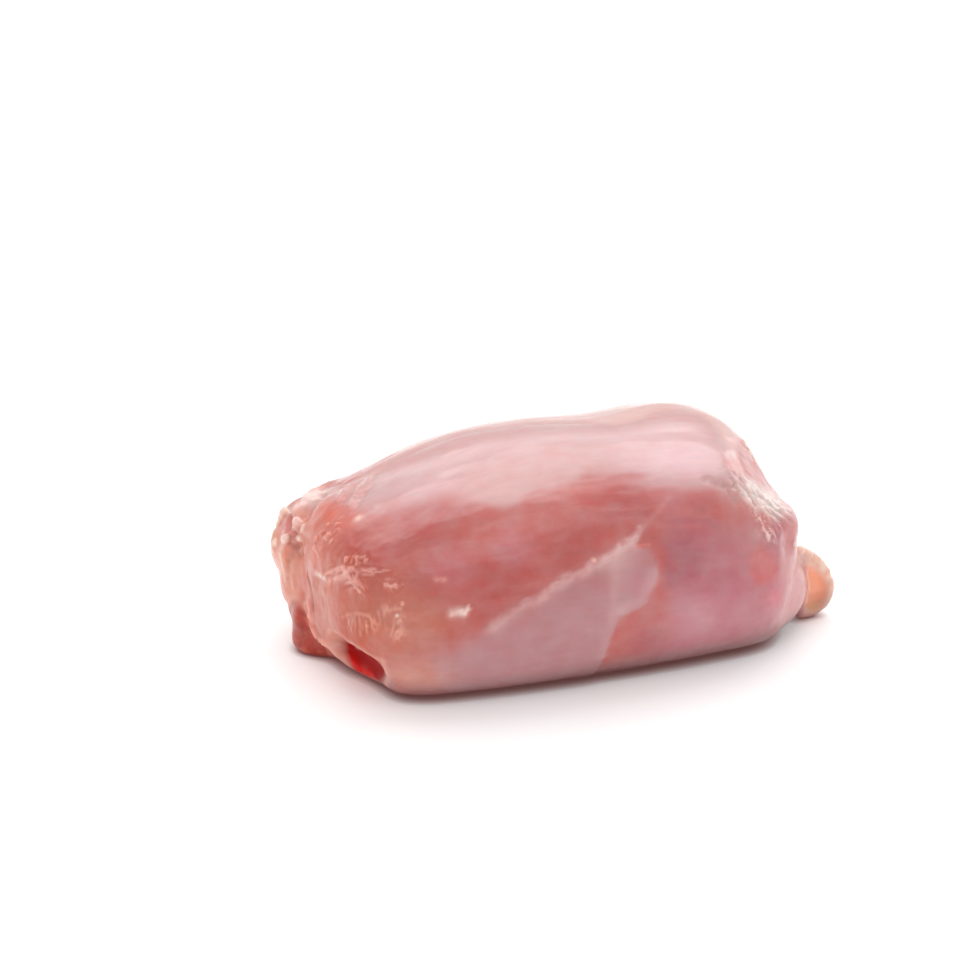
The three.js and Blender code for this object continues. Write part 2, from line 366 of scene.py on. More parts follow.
class Skin:
    """The meat's mesh as arrays in millimetres, with the means to place things on it."""

    def __init__(self, piece, camera):
        self.piece = piece
        self.camera = camera
        mesh = piece.data
        self.points = np.zeros(len(mesh.vertices) * 3)
        mesh.vertices.foreach_get("co", self.points)
        self.points = self.points.reshape(-1, 3) / MM
        edges = np.zeros(len(mesh.edges) * 2, np.int64)
        mesh.edges.foreach_get("vertices", edges)
        self.edges = edges.reshape(-1, 2)

    def even(self, passes, weight):
        """Draws each point towards the middle of its neighbours, by its weight, in several passes."""
        a, b = self.edges.T
        n = len(self.points)
        count = np.bincount(a, minlength=n) + np.bincount(b, minlength=n)
        for _ in range(passes):
            total = [np.bincount(a, old[b], n) + np.bincount(b, old[a], n) for old in self.points.T]
            self.points += weight[:, None] * (np.stack(total, 1) / count[:, None] - self.points)

    def store(self):
        """Writes the points to the mesh, and takes the new normals from it."""
        mesh = self.piece.data
        mesh.vertices.foreach_set("co", (self.points * MM).ravel())
        mesh.update()
        normals = np.zeros(len(mesh.vertices) * 3)
        mesh.vertices.foreach_get("normal", normals)
        self.normals = normals.reshape(-1, 3)

    def survey(self):
        """Makes the search tree and the unrolled place of each point: along the roll, and round it."""
        mesh = self.piece.data
        polygons = [tuple(p.vertices) for p in mesh.polygons]
        self.tree = BVHTree.FromPolygons([tuple(p) for p in self.points], polygons)
        self.flat = unroll(self.points)

    def under(self, pixel):
        """The point of the meat that shows at a pixel of the photograph."""
        pixel_step = SENSOR / LENS / FRAME_SIDE
        centre = FRAME_SIDE / 2
        turn = self.camera.matrix_world.to_3x3()
        eye = self.camera.matrix_world.translation / MM
        for step in range(SEARCH):
            at = [p + (m - p) * step / (2 * SEARCH) for p, m in zip(pixel, MIDDLE)]
            ray = Vector(((at[0] - centre) * pixel_step, -(at[1] - centre) * pixel_step, -1))
            place = self.tree.ray_cast(eye, (turn @ ray).normalized())[0]
            if place is not None:
                return np.array(place)
        raise ValueError(f"nothing shows near {pixel}")

    def trace(self, pixels):
        """The points of the meat that show at the pixels."""
        return np.array([self.under(p) for p in pixels])

    def cap_line(self, places, side):
        """The points of the end cap that faces side, -1 or 1, at places across and up in millimetres."""
        start, way = Vector((side * OUTSIDE, 0, 0)), Vector((-side, 0, 0))
        return np.array([self.tree.ray_cast(start + Vector((0, y, z)), way)[0] for y, z in places])

    def near(self, pixel):
        """The distance of each point from the point that shows at a pixel, in millimetres."""
        return np.linalg.norm(self.points - self.under(pixel), axis=1)

    def facing(self, seen, across, up):
        """How far each point lies inside a patch whose edge pixels are seen, looked at square to two axes."""
        corner = self.trace(seen)[:, (across, up)]
        return patch_depth(self.points[:, (across, up)], corner)

    def inside(self, seen, hidden, ragged, grain, seed):
        """How far each point lies inside a patch, in millimetres along the meat. seen are pixels of its edge,
        hidden are (millimetres along the roll, degrees round it) of the rest of that edge, and ragged is how
        far noise of the given grain moves the edge."""
        corner = unroll(self.trace(seen))
        rest = np.array([(x, math.radians(turn) * UNROLL) for x, turn in hidden]).reshape(-1, 2)
        corner = np.vstack([corner, rest])
        shifted = self.flat.copy()
        shifted[:, 0] += ragged * rough_noise(self.points, grain, seed)
        shifted[:, 1] += ragged * rough_noise(self.points, grain, seed + 5)
        return patch_depth(shifted, corner)


def remesh(node, name):
    """A new piece in the form of a node's solid, with an even mesh."""
    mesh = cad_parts[node].data.copy()
    mesh.materials.clear()
    welded = bmesh.new()
    welded.from_mesh(mesh)
    bmesh.ops.remove_doubles(welded, verts=welded.verts, dist=WELD)
    welded.to_mesh(mesh)
    welded.free()
    piece = add_object(name, mesh)
    grain = piece.modifiers.new("grain", "REMESH")
    grain.mode = "VOXEL"
    grain.voxel_size = VOXEL
    shaped = bpy.data.meshes.new_from_object(piece.evaluated_get(bpy.context.evaluated_depsgraph_get()))
    piece.modifiers.clear()
    piece.data = shaped
    shaped.name = name
    return piece


def refine(piece, wanted):
    """Cuts the faces at the wanted points into four, for the small forms there."""
    mesh = bmesh.new()
    mesh.from_mesh(piece.data)
    mesh.verts.ensure_lookup_table()
    cut = [e for e in mesh.edges if wanted[e.verts[0].index] and wanted[e.verts[1].index]]
    bmesh.ops.subdivide_edges(mesh, edges=cut, cuts=1, use_grid_fill=True)
    mesh.to_mesh(piece.data)
    mesh.free()


def sunk_depth(skin, chosen, drop):
    """How deep each chosen point lies under a hull drawn tight over all of them and what is drop below."""
    picked = skin.points[chosen]
    hull = bmesh.new()
    sparse = picked[::HULL_STEP]
    for p in np.vstack([sparse, sparse - (0, 0, drop)]):
        hull.verts.new(p)
    bmesh.ops.convex_hull(hull, input=hull.verts, use_existing_faces=False)
    tree = BVHTree.FromBMesh(hull)
    hull.free()
    depth = np.zeros(len(skin.points))
    depth[chosen] = [tree.find_nearest(Vector(p))[3] for p in picked]
    return depth


# ---------------------------------------------------------------- what the photograph shows, by its pixels
RIDGE = ((374, 481), (392, 463), (410, 454), (433, 446), (466, 435), (494, 431), (535, 425), (576, 424),
         (615, 427), (637, 423), (651, 417), (666, 413), (682, 413), (700, 419), (710, 425), (718, 436),
         (725, 449), (733, 463), (737, 474))
# A painted highlight runs along this band on the top.
HIGHLIGHT_BAND = ((388, 478), (402, 473), (420, 469), (440, 465), (460, 458), (480, 451), (500, 447), (520, 444),
               (550, 440), (580, 439), (620, 439), (645, 434), (665, 430), (690, 431))
# The pale top is partly the pale membrane and partly a painted highlight, and so is the streak below it.
PALE_TOP_HIGHLIGHT_EDGE = ((371, 480), (365, 487), (358, 497), (353, 507), (366, 516), (380, 517), (395, 511),
                 (410, 506), (429, 501), (451, 496), (468, 503), (486, 503), (506, 511), (523, 506),
                 (534, 495), (549, 493), (564, 487), (584, 475), (596, 478), (625, 478), (645, 483),
                 (666, 486), (680, 490), (700, 492), (716, 494), (727, 497))
PALE_HIGHLIGHT_STREAK = ((552, 497), (566, 503), (580, 511), (596, 519))
# The membrane's edge stands clear of the muscle first, and lies flat on it further left.
MEMBRANE_CLEAR = ((641, 529), (632, 538), (622, 545), (612, 553), (600, 560), (592, 562), (584, 568),
                  (572, 573), (560, 580), (548, 589), (536, 597), (525, 600), (515, 608), (505, 615),
                  (496, 621))
MEMBRANE_EDGE = MEMBRANE_CLEAR + ((486, 629), (478, 637), (462, 644), (452, 649), (440, 651), (424, 656),
                                  (405, 658), (390, 660))
MEMBRANE_LINE = ((668, 500), (655, 514), (648, 522), (641, 529))
MEMBRANE_END = ((634, 544), (645, 549), (653, 556), (657, 566), (656, 577), (651, 588), (645, 600),
                (640, 608), (630, 613), (618, 617), (614, 622), (612, 632), (608, 645), (603, 655),
                (599, 667))
MEMBRANE_LOBE = ((652, 575), (645, 590), (637, 601), (622, 609))
MEMBRANE_PLEAT = ((612, 568), (613, 590), (612, 612), (606, 638), (601, 656))
SHEET_CORNER = ((392, 656), (418, 655), (434, 660), (436, 676), (428, 692), (398, 692), (388, 682))
MAUVE_EDGE = ((668, 505), (700, 512), (740, 520), (775, 535))
DARK_MUSCLE = ((664, 545), (676, 532), (692, 540), (702, 556), (703, 572), (690, 586), (668, 590), (660, 570))
RED_PATCH = ((748, 550), (762, 545), (776, 556), (779, 572), (764, 582), (750, 576))
END_BAND = ((783, 536), (782, 560), (782, 585), (779, 604), (775, 618), (768, 640))
# The outline of the painted highlight on the shoulder's wet wrinkles.
SHOULDER_HIGHLIGHT = ((733, 482), (745, 478), (757, 486), (772, 490), (786, 498), (795, 512), (788, 519),
                  (774, 515), (760, 509), (748, 501), (738, 496))
TAG_HOLLOW = ((807, 568), (813, 571), (820, 577), (825, 586), (824, 597), (820, 606), (815, 611), (806, 611),
              (804, 606), (806, 597), (808, 588), (808, 578))
POCKET = ((343, 642), (352, 643), (358, 648), (370, 653), (384, 659), (386, 668), (383, 682), (375, 684),
          (366, 682), (359, 672), (351, 661), (345, 652))
POCKET_RIM = ((335, 645), (345, 643), (358, 649), (370, 655), (384, 660), (387, 670), (388, 683))
POCKET_GLOW = ((352, 664), (358, 672), (364, 682))
# The pocket and the slab as blunt balls: how blunt, and the middle and half the size in millimetres.
BLUNTNESS = 2.8
POCKET_AT, POCKET_HALF = (-49.6, -16.1, 2.0), (8.0, 10.0, 9.6)
SLAB_AT, SLAB_HALF = (-45.8, 6.7, 4.6), (6.3, 5.6, 6.2)

# The far side and the ends, which the photograph doesn't show. The sheet's free edge runs along the far side:
# millimetres along the roll, and degrees round it from the near side over the top.
FAR_EDGE = ((-60, 140), (-44, 150), (-30, 161), (-14, 157), (4, 166), (20, 160), (36, 149), (60, 140))
FAR_FILM = ((-22, 172), (-8, 168), (8, 174), (16, 190), (8, 214), (-10, 222), (-26, 206))
# The rest of the edges of patches, where the photograph doesn't show them, given in the same way.
PALE_TOP_HIGHLIGHT_FAR = ((38, 100), (34, 150), (-20, 150), (-32, 112))
RIDGE_FAR = ((40, 110), (36, 140), (-26, 140), (-44, 120))
MEMBRANE_FAR = ((-46, -70), (-44, -120), (-8, -120), (-5, -72))
MAUVE_FAR = ((46, 40), (48, -60), (46, -120), (8, -120), (2, -70), (10, -20))
BAND_FAR = ((40, -75), (60, -75), (60, 60), (44, 45))
# Folds on the left and right end caps, across and up in millimetres.
LEFT_FOLDS = (((17, 9), (20, 16), (18, 24)), )
RIGHT_FOLDS = (((16, 8), (19, 17), (14, 25), (4, 28), (-6, 25)), ((8, 9), (11, 16), (6, 21), (-1, 19)),
               ((-2, 9), (2, 13), (4, 17)))
# Where the outer roll's rim meets the inner roll, which is evened out.
LEFT_RIM = ((-47.0, 4.0, 29.0), (-50.0, 4.0, 23.5), (-50.5, 5.0, 17.0))
# Broad swellings and hollows: the place, the radius and the height, all in millimetres.
SWELLINGS = (((42.9, -15.1, 8.0), 9.0, 3.0), ((-50.1, 13.0, 8.9), 6.0, 1.7), ((-52.8, 5.4, 3.7), 5.0, -0.9),
             ((-48.9, 15.9, 27.2), 3.2, -0.9), ((41.7, -16.9, 25.6), 6.0, 0.9),
             ((38.5, -22.1, 21.8), 3.4, -0.8), ((-43.0, -16.0, 24.0), 9.0, 0.5),
             ((30.0, 24.0, 12.0), 14.0, 0.7), ((-12.0, 27.0, 16.0), 16.0, -0.7),
             ((45.0, 12.0, 14.0), 9.0, 0.8), ((45.0, -1.0, 24.0), 7.0, 0.6))

# Heights of the fine relief in millimetres.
BUNDLE_RISE, FIBRE_RISE, THREAD_RISE = 0.30, 0.12, 0.035
MEMBRANE_RISE, TOP_RISE, RIM_RISE, PLEAT_RISE, WRINKLE_RISE = 0.28, 0.10, 0.16, 0.08, 0.26
LEFT_RISE, CAP_RISE, TAG_RISE, HOLLOW_DROP = 0.12, 0.35, 0.2, 0.9
LIP_RISE, STEP_DROP, FAR_FILM_RISE = 0.5, 0.7, 0.2
# How much the membrane and the pale top calm the fibres.
CALM = 0.65
# How round and how opaque a bead is, and the width and height of a fold, and how much painted crease shade it
# gets.
BEAD_ROUND, BEAD_SHARE = 0.6, 0.85
FOLD_WIDTH, FOLD_HEIGHT, FOLD_SHADE_SHARE = 1.0, -0.7, 0.3

# Colours of the meat under plain white light, and of the painted highlights and shade on it.
SALMON, SALMON_DEEP, SALMON_SOFT = (188, 87, 79), (170, 64, 61), (192, 104, 99)
MAUVE, DARK, RED, ROSE, LILAC = (178, 99, 108), (166, 84, 92), (196, 84, 82), (212, 108, 120), (190, 110, 122)
# The pale is partly painted highlight, and the ridge grey is painted shade in grooves.
PALE, CREAM, GROOVE_SHADE, LAVENDER_WHITE = (198, 146, 143), (218, 170, 163), (184, 134, 132), (222, 182, 190)
SILVER, SILVER_EDGE = (178, 124, 128), (222, 180, 176)
PEACH, PEACH_PALE, PEACH_GREY, ORANGE = (176, 68, 50), (184, 88, 68), (196, 116, 92), (214, 94, 62)
END, COLUMN_RED = (222, 142, 116), (202, 82, 66)
SLAB_RED, SLAB_DARK, SLAB_ORANGE = (176, 66, 52), (110, 36, 30), (190, 92, 58)
POCKET_RED, POCKET_BRIGHT, LIP_PINK, RIM_CREAM = (154, 6, 6), (228, 50, 46), (240, 160, 146), (226, 164, 146)
BAND, TAG_CREAM = (216, 160, 158), (232, 190, 170)
TAG_ORANGE, TAG_BRIGHT, TAG_AMBER = (250, 164, 128), (252, 176, 148), (248, 194, 138)
# These two rows hold painted light and shade: a highlight white, a highlight band white, and crease,
# underside and wrinkle shades; the brown is the meat's own.
HIGHLIGHT_WHITE, CREASE_SHADE, UNDERSIDE_SHADE, BROWN = (240, 224, 218), (142, 70, 64), (112, 34, 36), (120, 62, 40)
WRINKLE_SHADE, HIGHLIGHT_BAND_WHITE = (150, 108, 102), (224, 184, 186)
GLASSY, FAT, FAT_CREAM, WHITE_FAT = (232, 202, 194), (230, 158, 138), (240, 206, 186), (244, 216, 204)
PINK_FAT, FILM_PINK = (216, 120, 108), (236, 172, 160)
FILM_CREAM, FILM_WHITE = (228, 158, 136), (244, 208, 198)

# Blushes of colour: the pixel, the radius in millimetres, the colour, and how much of it there is.
BLUSHES = (
    ((625, 505), 5.5, SALMON_DEEP, 0.55), ((570, 552), 6.5, SALMON_DEEP, 0.6),
    ((495, 592), 6.0, SALMON_DEEP, 0.6), ((372, 592), 3.5, SALMON_DEEP, 0.5),
    # The dark blush at (650, 644), low on the right of the membrane, is painted shade.
    ((700, 508), 4.0, SALMON_DEEP, 0.5), ((650, 644), 4.5, DARK, 0.7), ((360, 545), 4.0, SALMON_DEEP, 0.5),
    ((430, 540), 8.0, SALMON_DEEP, 0.4), ((520, 590), 6.0, SALMON_DEEP, 0.4), ((390, 550), 2.0, LILAC, 0.3),
    ((372, 530), 4.5, PEACH, 0.6), ((410, 522), 7.0, SALMON_DEEP, 0.55),
    ((440, 515), 5.5, SALMON_DEEP, 0.5), ((628, 497), 5.0, SALMON_DEEP, 0.35),
    ((755, 537), 2.5, PALE, 0.35), ((450, 572), 4.5, LILAC, 0.4), ((514, 548), 3.6, LILAC, 0.4),
    ((700, 616), 6.0, LILAC, 0.45), ((640, 585), 3.0, LILAC, 0.4), ((735, 606), 5.0, LILAC, 0.4),
    ((322, 511), 2.6, ORANGE, 0.75), ((336, 514), 3.4, ORANGE, 0.7), ((348, 522), 2.4, ORANGE, 0.5),
    ((316, 556), 2.5, ORANGE, 0.4), ((380, 650), 3.0, ORANGE, 0.3), ((400, 640), 4.0, PEACH_GREY, 0.4),
    ((395, 612), 5.0, PEACH_GREY, 0.6), ((378, 632), 4.0, PEACH_GREY, 0.5),
    ((428, 624), 4.5, PEACH_GREY, 0.5), ((362, 600), 3.5, PEACH_GREY, 0.45), ((774, 598), 2.8, ROSE, 0.7),
    # The lavender-white blushes on the right of the pale top are painted highlight.
    ((690, 455), 7.0, LAVENDER_WHITE, 0.55), ((655, 462), 7.0, LAVENDER_WHITE, 0.4),
    ((430, 680), 5.0, RIM_CREAM, 0.4), ((402, 676), 3.6, RIM_CREAM, 0.45), ((312, 500), 2.4, GLASSY, 0.8),
    ((620, 562), 3.5, SILVER_EDGE, 0.35), ((690, 620), 5.0, LAVENDER_WHITE, 0.2),
    # On the shoulder, the pale blush at (733, 488) and the white blushes at (752, 491) and (770, 503) are
    # painted highlight.
    ((284, 527), 1.3, ROSE, 0.7), ((360, 519), 0.9, FAT_CREAM, 0.7), ((733, 488), 4.5, PALE, 0.5),
    ((742, 532), 4.5, PALE, 0.3), ((791, 536), 3.0, SALMON_SOFT, 0.65), ((752, 491), 3.0, HIGHLIGHT_WHITE, 0.4),
    ((770, 503), 2.2, HIGHLIGHT_WHITE, 0.7), ((307, 590), 1.8, COLUMN_RED, 0.5),
    ((797, 556), 1.8, FAT_CREAM, 0.6), ((801, 575), 1.5, FAT_CREAM, 0.35),
    # Painted highlight on the left of the pale top.
    ((420, 484), 6.0, LAVENDER_WHITE, 0.3),
)
# Beads of fat: the pixel, the radius and the height in millimetres, and the colour.
BEADS = (
    ((298, 525), 1.5, 1.2, GLASSY), ((286, 540), 1.2, 0.9, WHITE_FAT), ((283, 513), 1.7, 0.8, FAT_CREAM),
    ((277, 522), 1.2, 0.4, FAT_CREAM), ((276, 532), 1.1, 0.3, FAT_CREAM), ((277, 543), 1.0, 0.3, FAT_CREAM),
    ((292, 533), 0.8, 0.5, PINK_FAT), ((299, 540), 0.9, 0.45, WHITE_FAT), ((304, 529), 1.1, 0.5, GLASSY),
    ((318, 540), 0.7, 0.45, FAT), ((330, 536), 0.8, 0.5, FAT), ((333, 542), 0.55, 0.35, FAT),
    ((329, 525), 0.5, 0.35, FAT), ((338, 526), 0.45, 0.3, FAT), ((324, 532), 0.5, 0.3, PINK_FAT),
    ((336, 534), 0.45, 0.25, PINK_FAT), ((347, 559), 0.5, 0.3, FAT), ((403, 604), 0.5, 0.25, FAT),
    ((398, 616), 0.4, 0.2, WHITE_FAT), ((401, 620), 0.35, 0.2, FILM_CREAM),
    ((399, 631), 0.5, 0.3, FILM_CREAM), ((368, 626), 0.5, 0.3, FILM_CREAM),
    ((469, 609), 0.55, 0.3, WHITE_FAT), ((593, 561), 0.55, 0.25, FAT), ((799, 551), 1.0, 0.5, FAT_CREAM),
    ((819, 566), 1.1, 0.5, FAT_CREAM), ((808, 556), 0.8, 0.4, TAG_CREAM), ((813, 562), 0.6, 0.3, TAG_CREAM),
    ((792, 545), 0.55, 0.35, GLASSY), ((826, 577), 0.7, 0.35, TAG_CREAM), ((829, 586), 0.7, 0.3, TAG_CREAM),
    ((751, 453), 1.0, 0.3, FAT_CREAM), ((744, 442), 0.8, 0.2, PALE), ((756, 463), 0.8, 0.25, FAT_CREAM),
    ((805, 603), 0.4, -0.1, BROWN),
)
# Strands, edges and creases: the pixels they run through, half the width and the height in millimetres, the
# colour, and how much of it there is.
STRANDS = (
    (((299, 506), (308, 500), (318, 496), (327, 494)), 2.0, 0.45, GLASSY, 0.9),
    (((303, 509), (312, 504), (320, 501)), 0.5, 0.3, GLASSY, 0.6),
    (((313, 494), (325, 489), (340, 484)), 0.5, 0.3, FAT, 0.5),
    (((292, 511), (284, 509), (277, 514), (274, 524), (273, 536), (275, 548)), 0.5, 0.3, FAT_CREAM, 0.7),
    # Painted shade in the creases of the left end.
    (((290, 545), (296, 549), (300, 556)), 0.4, -0.3, CREASE_SHADE, 0.25),
    (((298, 548), (293, 556), (289, 566), (289, 578)), 0.5, -0.35, CREASE_SHADE, 0.25),
    (((308, 574), (311, 586), (314, 598), (314, 610)), 0.6, -0.3, CREASE_SHADE, 0.7),
    (((317, 574), (322, 576), (328, 580)), 0.5, 0.35, WHITE_FAT, 0.9),
    (((306, 578), (306, 590), (309, 603)), 1.0, 0.0, COLUMN_RED, 0.7),
    (((282, 552), (284, 566), (288, 580)), 0.6, 0.2, FAT_CREAM, 0.5),
    (((294, 562), (294, 574), (296, 588)), 0.5, 0.25, END, 0.6),
    (((345, 569), (350, 576), (355, 584), (361, 592)), 0.35, 0.35, FILM_PINK, 0.8),
    (((354, 569), (358, 573), (357, 580)), 0.3, 0.25, FILM_PINK, 0.6),
    (((328, 574), (338, 571), (351, 569)), 0.35, 0.3, FILM_PINK, 0.8),
    (((330, 580), (340, 579), (347, 577)), 0.8, 0.3, FILM_PINK, 0.7),
    (((352, 563), (354, 557), (358, 558), (357, 565)), 0.25, 0.25, FAT, 0.7),
    (((361, 558), (365, 558), (366, 563)), 0.25, 0.25, FAT, 0.6),
    (((345, 617), (352, 614), (360, 614), (370, 616), (376, 623)), 0.35, 0.3, FILM_CREAM, 0.6),
    (((361, 620), (362, 635)), 0.25, 0.2, FILM_CREAM, 0.6),
    (((367, 622), (368, 633)), 0.3, 0.25, FILM_CREAM, 0.7),
    (((372, 620), (375, 630)), 0.25, 0.2, FILM_CREAM, 0.5),
    (((355, 618), (353, 630)), 0.25, 0.2, FILM_CREAM, 0.5),
    (((386, 612), (393, 610), (401, 609)), 0.3, 0.2, FILM_CREAM, 0.6),
    (((379, 612), (381, 624)), 0.25, 0.2, FILM_CREAM, 0.4),
    (((396, 616), (394, 628), (392, 636)), 0.3, 0.25, FILM_CREAM, 0.6),
    (((402, 622), (402, 632), (399, 638)), 0.3, 0.25, FILM_CREAM, 0.6),
    (((366, 571), (376, 570)), 0.3, 0.15, FILM_PINK, 0.45),
    (((364, 575), (374, 575)), 0.25, 0.12, FILM_PINK, 0.4),
    (((386, 584), (391, 587), (396, 585)), 0.25, 0.12, FILM_PINK, 0.45),
    (((314, 547), (318, 551), (321, 557)), 0.3, 0.2, FAT, 0.5),
    (((453, 613), (459, 612), (464, 613)), 0.75, 0.4, WHITE_FAT, 0.95),
    (((436, 580), (441, 580), (445, 580)), 0.5, 0.15, FILM_PINK, 0.6),
    (((635, 547), (642, 546), (649, 545)), 0.3, 0.2, PINK_FAT, 0.8),
    (((311, 606), (312, 616), (313, 626), (316, 633), (320, 639), (328, 643)), 1.0, 0.6, LIP_PINK, 1.0),
    (((328, 643), (334, 651), (341, 658), (350, 662)), 0.7, 0.35, RIM_CREAM, 0.8),
    (POCKET_RIM, 0.7, 0.25, RIM_CREAM, 0.7),
    # Pale ridges painted lighter as highlight, each beside a groove with painted shade.
    (((351, 506), (357, 497), (365, 487), (371, 480)), 0.8, 0.35, PALE, 0.6),
    (((358, 508), (364, 498), (371, 488)), 0.7, -0.35, GROOVE_SHADE, 0.3),
    (((340, 500), (346, 492), (354, 484)), 0.8, 0.35, PALE, 0.5),
    (((345, 503), (351, 494), (359, 484)), 0.7, -0.35, GROOVE_SHADE, 0.3),
    # Painted shade in the grooves along the ridge, at the neck and between the shoulder's wrinkles.
    (RIDGE, 1.1, -0.15, GROOVE_SHADE, 0.4),
    (((706, 481), (713, 483), (721, 487)), 0.8, -0.4, GROOVE_SHADE, 0.8),
    (((725, 488), (729, 496), (734, 504)), 0.35, -0.3, GROOVE_SHADE, 0.5),
    (((738, 485), (742, 490), (747, 497)), 0.35, -0.3, GROOVE_SHADE, 0.5),
    (((742, 488), (748, 496), (755, 505)), 0.35, -0.3, GROOVE_SHADE, 0.5),
    (((757, 495), (763, 500), (769, 507)), 0.35, -0.3, GROOVE_SHADE, 0.6),
    (((805, 568), (806, 580), (806, 592), (804, 603)), 0.7, 0.6, TAG_BRIGHT, 0.8),
)
# Torn film in shreds: the pixels down its middle, half its width in millimetres, two pixels that the shreds
# run between, the length and the width of a shred, its height, its colour, and how much of it there is.
FILMS = (
    (((328, 576), (345, 573), (352, 580)), 1.7, ((330, 578), (350, 570)), 2.2, 0.45, 0.35, FILM_PINK, 0.85),
    (((350, 574), (362, 590)), 1.2, ((350, 572), (362, 590)), 2.5, 0.4, 0.25, FILM_PINK, 0.6),
    (((318, 541), (332, 533), (338, 526)), 1.7, ((318, 541), (334, 535)), 0.9, 0.6, 0.3, FAT, 0.6),
    (((345, 560), (366, 560)), 1.0, ((348, 562), (356, 556)), 0.8, 0.4, 0.25, FAT, 0.6),
    (((364, 572), (388, 573)), 1.1, ((364, 572), (388, 573)), 3.0, 0.4, 0.12, FILM_PINK, 0.5),
    (((385, 584), (400, 588)), 0.9, ((385, 584), (392, 588)), 0.8, 0.4, 0.1, FILM_PINK, 0.5),
    (((350, 620), (376, 624)), 1.6, ((362, 618), (362, 634)), 1.6, 0.45, 0.14, FILM_CREAM, 0.45),
    (((390, 612), (398, 620), (398, 632)), 1.7, ((398, 612), (397, 634)), 1.2, 0.5, 0.2, FILM_CREAM, 0.6),
    (((290, 552), (292, 580)), 1.6, ((288, 552), (291, 584)), 5.0, 0.6, 0.2, END, 0.6),
    # The white and pale shreds on the shoulder are painted highlight.
    (((738, 486), (752, 498), (768, 508)), 2.4, ((738, 486), (754, 505)), 3.0, 0.38, 0.3, HIGHLIGHT_WHITE, 0.9),
    (((756, 510), (768, 534)), 1.8, ((757, 514), (768, 534)), 1.4, 0.35, 0.18, FILM_WHITE, 0.95),
    (((728, 488), (740, 502)), 1.3, ((728, 488), (736, 504)), 2.4, 0.4, 0.2, PALE, 0.7),
    (((745, 445), (757, 468)), 1.2, ((745, 445), (757, 468)), 0.9, 0.6, 0.18, FAT_CREAM, 0.6),
    # Painted shade: dark streaks between the shoulder's wrinkles.
    (((734, 484), (752, 497), (776, 512)), 3.0, ((738, 486), (754, 505)), 3.2, 0.32, -0.25, WRINKLE_SHADE, 0.5),
    (((600, 508), (640, 512), (700, 520)), 4.0, ((600, 508), (700, 512)), 9.0, 0.8, 0.0, SALMON_SOFT, 0.5),
)


# ---------------------------------------------------------------- weights over the meat
def blunt_norm(points, centre, half):
    """Below 1 inside a blunt ball, and above 1 outside it."""
    share = np.abs((points - np.array(centre)) / np.array(half))
    return (share ** BLUNTNESS).sum(1) ** (1 / BLUNTNESS)


def cover(depth, soft):
    """Turns a patch's depth to how much of the meat it covers, with an edge that is soft millimetres wide."""
    return ease(depth / soft, -1, 1)


def line_weight(skin, line, width):
    """1 along a line, falling to nothing beyond its width in millimetres."""
    return bell(line_distance(skin.points, line), width)


def stroke(skin, pixels, width):
    return line_weight(skin, skin.trace(pixels), width)


def streaks(skin, seen, length, width, seed):
    """Noise drawn out along the line between two pixels."""
    start, end = skin.trace(seen)
    along = (end - start) / np.linalg.norm(end - start)
    share = skin.points @ along
    across = skin.points - np.outer(share, along)
    wavy = 0.25 * noise(skin.points, 2.2, seed + 3)
    return noise(across / width + np.outer(share / length, along) + wavy[:, None], 1.0, seed)


# ---------------------------------------------------------------- where each kind of surface lies
def top_patches(skin, pinch):
    """The pale top, partly the pale membrane and partly painted highlight, and the cream strip behind its
    ridge, both softer where they are out of sight.
    """
    x = skin.points[:, 0]
    hidden = ease(np.abs(skin.flat[:, 1] / UNROLL), 1.5, 2.2) + ease(x, 38, 46)
    top = skin.inside(PALE_TOP_HIGHLIGHT_EDGE, PALE_TOP_HIGHLIGHT_FAR, 2.4, (9, 2.6, 2.6), 20)
    strip = skin.inside(RIDGE, RIDGE_FAR, 0.8, (8, 4, 4), 30)
    return {"pale_top_and_highlight": cover(top * pinch, 1.5 + 5 * hidden + 1.5 * ease(-x, 16, 28)),
            "cream_strip": cover(strip * pinch, 0.9 + 6 * hidden)}


def membrane_patches(skin):
    """The silver membrane, its rim, the pale band inside it, and the stretch where the edge stands clear."""
    x = skin.points[:, 0]
    edge = tuple(reversed(MEMBRANE_END)) + MEMBRANE_EDGE
    depth = skin.inside(edge, MEMBRANE_FAR, 0.55, 1.5, 40)
    return {"membrane": cover(depth, 0.45 + 2.2 * ease(-x, 14, 32) + 0.9 * ease(x, 4, 12)),
            "membrane_rim": bell(depth - 0.5, 0.75),
            "membrane_band": bell(depth - 1.4, 1.6),
            "membrane_near": stroke(skin, MEMBRANE_CLEAR, 2.2)}


def muscle_patches(skin, pinch):
    """The patches of bare muscle by their colour, and the painted shade low down near the floor."""
    x, _, z = skin.points.T
    turn = skin.flat[:, 1] / UNROLL
    mauve = skin.inside(MAUVE_EDGE, MAUVE_FAR, 3.0, 6, 50)
    return {"mauve": cover(mauve * pinch, 3.5),
            "dark_muscle": cover(skin.inside(DARK_MUSCLE, (), 1.8, (5, 1.6, 1.6), 60), 1.6),
            "red_patch": cover(skin.inside(RED_PATCH, (), 1.5, 3, 65), 1.5),
            "corner": cover(skin.inside(SHEET_CORNER, (), 0.8, 2.4, 67), 1.8),
            "peach": ease(-x, 22, 38) * ease(turn, -2.2, -1.2) * ease(1.2 - turn, 0.2, 0.7),
            "foot": ease(-z, -8.0, -0.5) * ease(x, -46, -36) * ease(46 - x, 0, 3),
            "low": ease(-z, -10, -1) * ease(x, -30, 10)}


